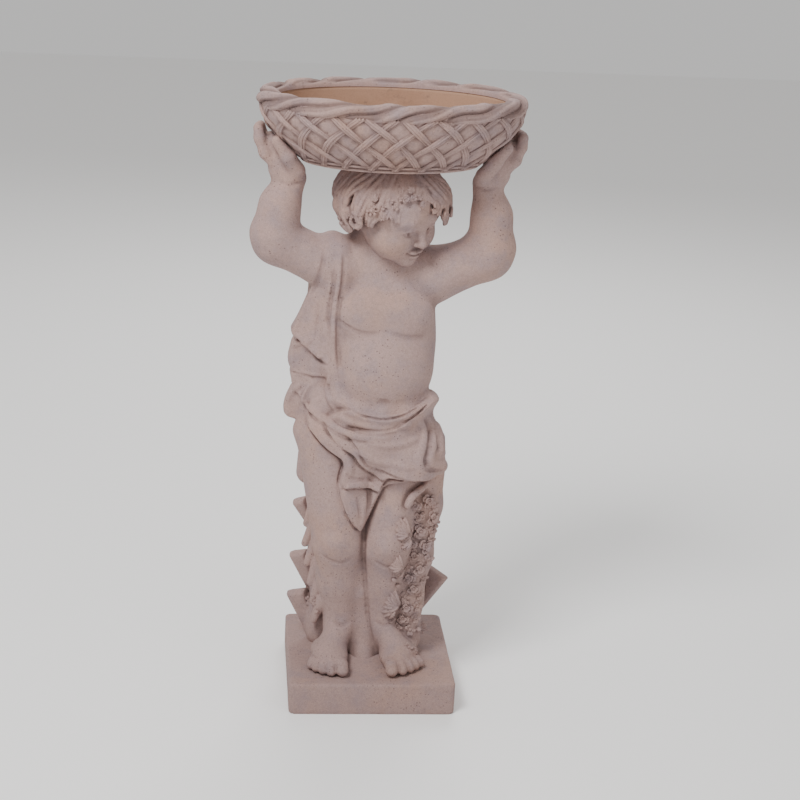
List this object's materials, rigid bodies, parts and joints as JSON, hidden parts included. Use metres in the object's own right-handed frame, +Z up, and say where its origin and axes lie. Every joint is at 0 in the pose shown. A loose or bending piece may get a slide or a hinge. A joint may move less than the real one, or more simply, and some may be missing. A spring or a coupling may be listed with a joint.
{
  "type": "cherub garden statue",
  "caption": "Cherub in draped cloth on a square plinth, holding an oval lattice basket planter on his head with both hands.",
  "frame": {"origin": "centre of the plinth's underside", "axes": "+Z up, the figure faces -Y, +X towards the figure's left hand"},
  "size_m": [0.428, 0.2896, 0.9972],
  "materials": {
    "cast_stone": "unpainted weathered cast stone",
    "tan_lining": "unpainted cast stone, tan inside"
  },
  "bodies": {
    "root": {"cherub": "cast_stone", "basket": "cast_stone"}
  },
  "joints": []
}
